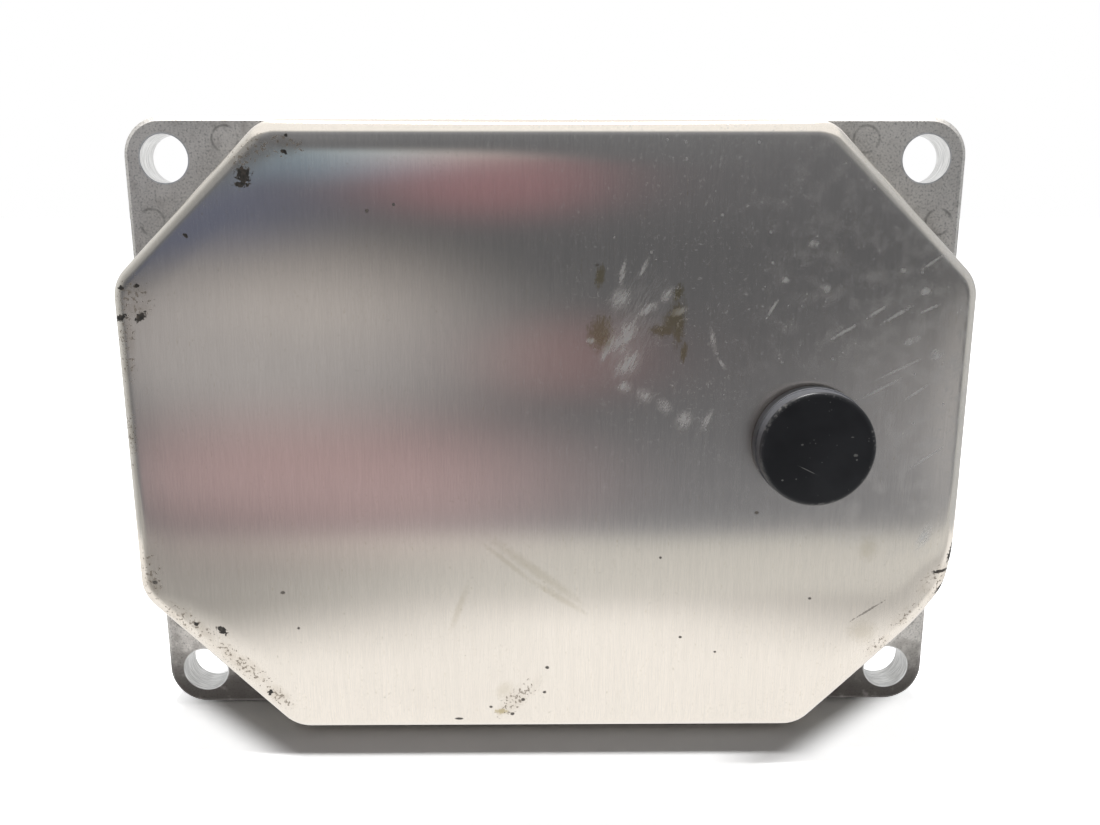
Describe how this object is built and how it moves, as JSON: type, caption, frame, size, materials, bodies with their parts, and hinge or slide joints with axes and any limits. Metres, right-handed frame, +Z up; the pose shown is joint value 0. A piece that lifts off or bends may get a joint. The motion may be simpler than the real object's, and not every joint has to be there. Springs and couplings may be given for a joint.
{
  "type": "engine control unit",
  "caption": "Engine control unit in a cast aluminium tray with bolt lugs at its corners, a pressed octagonal cover with a round breather, and plug sockets on its ribbed back.",
  "frame": {"origin": "centre of the four lug holes, on the front face of the lugs", "axes": "+X along the width to the right seen from the cover, +Y from the cover towards the sockets, +Z up"},
  "size_m": [0.15, 0.0498, 0.113],
  "materials": {
    "cast_aluminium": "matt grainy die casting",
    "brushed_sheet": "satin, brushed along its height, scuffed",
    "cap_plastic": "smooth black, worn rim",
    "moulded_plastic": "fine moulded grain",
    "carrier_plastic": "fine moulded grain",
    "seal_rubber": "matt",
    "membrane_cloth": "matt white",
    "board_laminate": "solder mask, semi gloss",
    "screw_steel": "zinc plated",
    "pin_metal": "tin plated",
    "chip_moulding": "matt moulding compound",
    "can_metal": "drawn can",
    "ceramic_body": "sintered",
    "ferrite_body": "pressed powder",
    "pad_silicone": "soft filled silicone"
  },
  "bodies": {
    "root": {"housing": "cast_aluminium", "cover": "brushed_sheet", "cover_seal": "seal_rubber", "vent_cap": "cap_plastic", "vent_body": "moulded_plastic", "vent_membrane": "membrane_cloth", "vent_seal_ring": "seal_rubber", "circuit_board": "board_laminate", "board_screws": "screw_steel", "engine_header": "moulded_plastic", "vehicle_header": "moulded_plastic", "engine_pin_carrier": "carrier_plastic", "vehicle_pin_carrier": "carrier_plastic", "engine_header_pins": "pin_metal", "vehicle_header_pins": "pin_metal", "engine_header_seal": "seal_rubber", "vehicle_header_seal": "seal_rubber", "header_screws": "screw_steel", "microcontroller": "chip_moulding", "flash_memory": "chip_moulding", "supply_regulator": "chip_moulding", "injector_driver": "chip_moulding", "can_transceiver": "chip_moulding", "suppressor_diode": "chip_moulding", "choke_coil": "ferrite_body", "quartz_crystal": "can_metal", "pressure_sensor": "chip_moulding", "electrolytic_capacitors": "can_metal", "ceramic_capacitors": "ceramic_body", "chip_resistors": "chip_moulding", "power_transistors": "chip_moulding", "ignition_drivers": "chip_moulding", "thermal_pads": "pad_silicone"}
  },
  "joints": []
}
